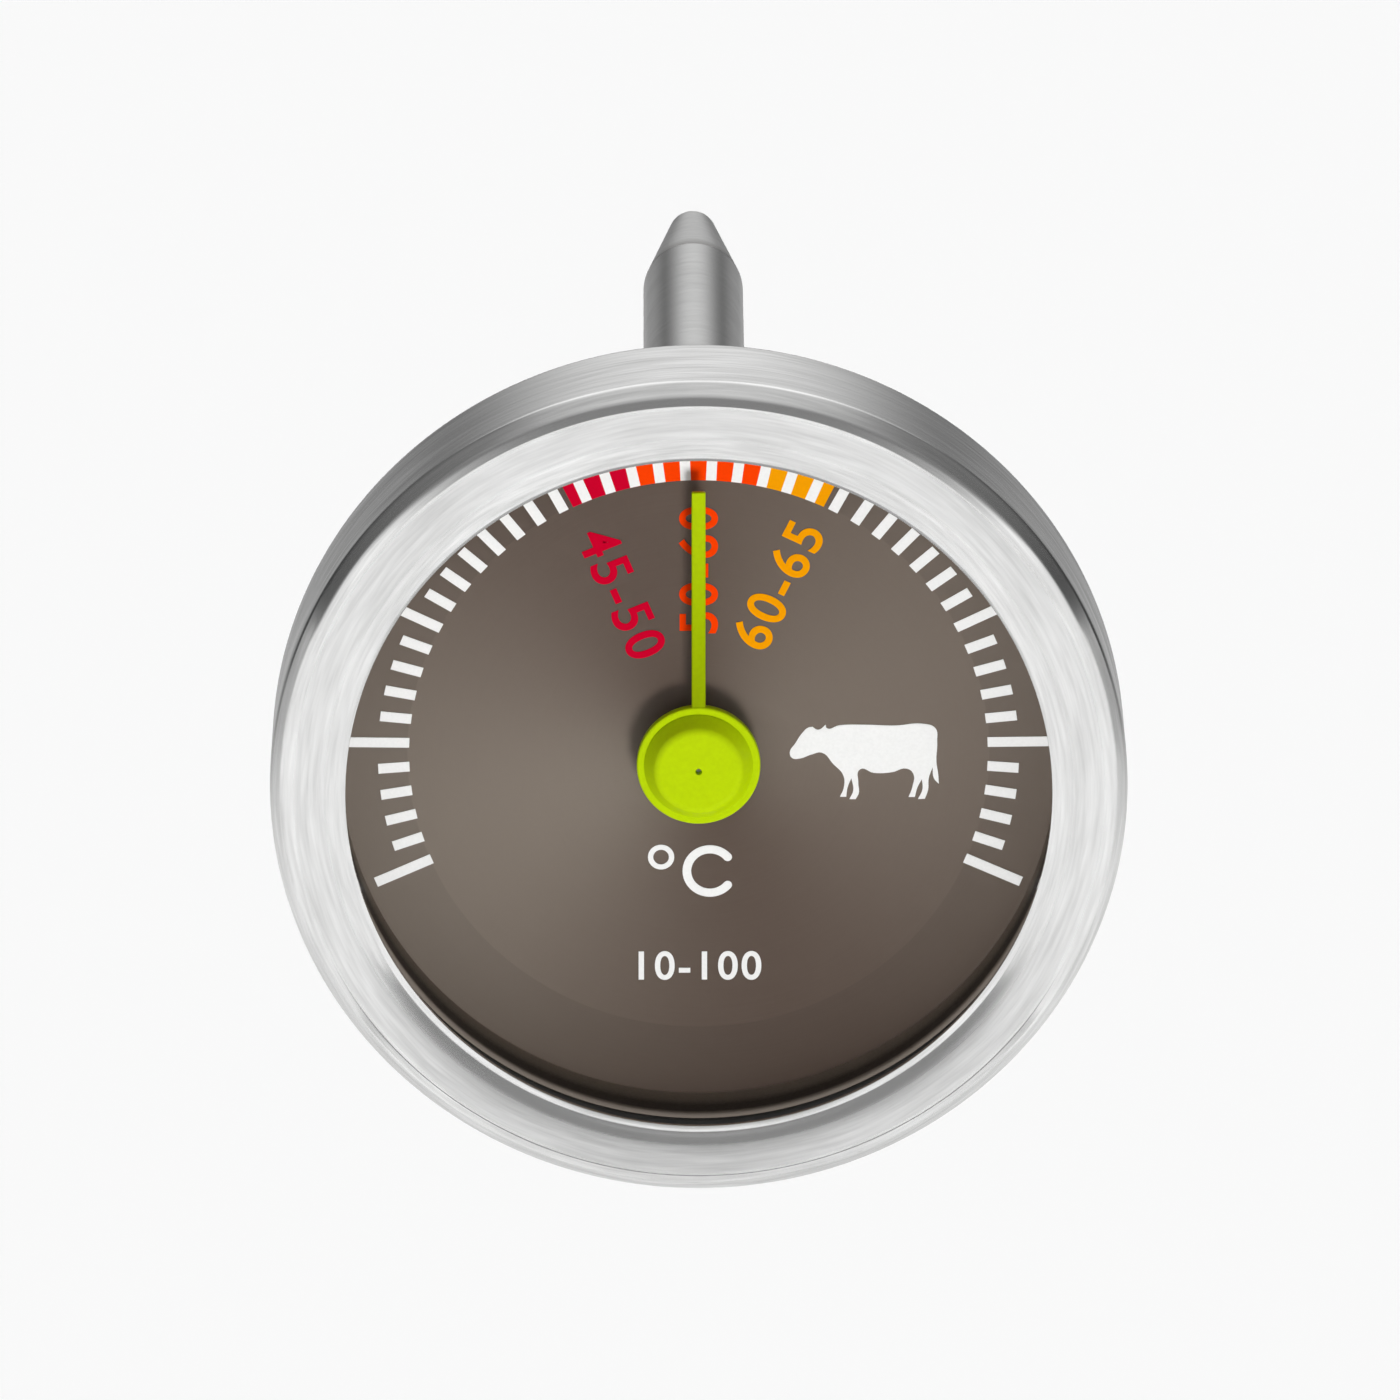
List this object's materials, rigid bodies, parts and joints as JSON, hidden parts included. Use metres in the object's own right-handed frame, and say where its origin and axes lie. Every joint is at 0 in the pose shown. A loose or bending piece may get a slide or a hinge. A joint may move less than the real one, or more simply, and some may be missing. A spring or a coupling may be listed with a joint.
{
  "type": "dial meat thermometer",
  "caption": "Small dial thermometer with a round brushed steel case, a glass-covered scale with a turning pointer, and a pointed probe that is pushed into food.",
  "frame": {"origin": "on the probe's axis, in the plane of the case's flat back", "axes": "+Y along the probe towards its tip, so the dial faces -Y; +Z towards 12 o'clock on the dial; +X to the right seen from the front"},
  "size_m": [0.028, 0.0611, 0.028],
  "materials": {
    "case_steel": "stainless steel, brushed round the axis",
    "probe_steel": "stainless steel, ground",
    "lens_glass": "clear and polished",
    "silicone": "black, matt",
    "spacer_plastic": "dark taupe, matt",
    "dial_paint": "taupe metallic, satin, with white and coloured print",
    "pointer_paint": "lime green, satin",
    "movement_brass": "turned",
    "movement_steel": "drawn"
  },
  "bodies": {
    "housing": {"case_cup": "case_steel", "bezel_ring": "case_steel", "lens": "lens_glass", "lens_gasket": "silicone", "spacer_ring": "spacer_plastic", "dial_plate": "dial_paint", "dial_pad": "silicone", "stem_tube": "probe_steel", "probe_tip": "probe_steel", "stem_bush": "probe_steel", "back_seal": "silicone", "lock_ring": "probe_steel", "spindle_guide_upper": "movement_brass", "spindle_guide_lower": "movement_brass", "helix_anchor": "movement_brass", "bimetal_helix": "movement_steel"},
    "pointer": {"pointer_hand": "pointer_paint", "pointer_boss": "pointer_paint", "pointer_collet": "movement_brass", "spindle": "movement_steel", "helix_head": "movement_brass"}
  },
  "joints": [
    {"name": "pointer_sweep", "type": "hinge", "parent": "housing", "child": "pointer", "pos_m": [0, -0.0017, 0], "axis": [0, 1, 0], "range_deg": [-112.5, 112.5], "stiffness_Nm_per_rad": 0.00002}
  ]
}
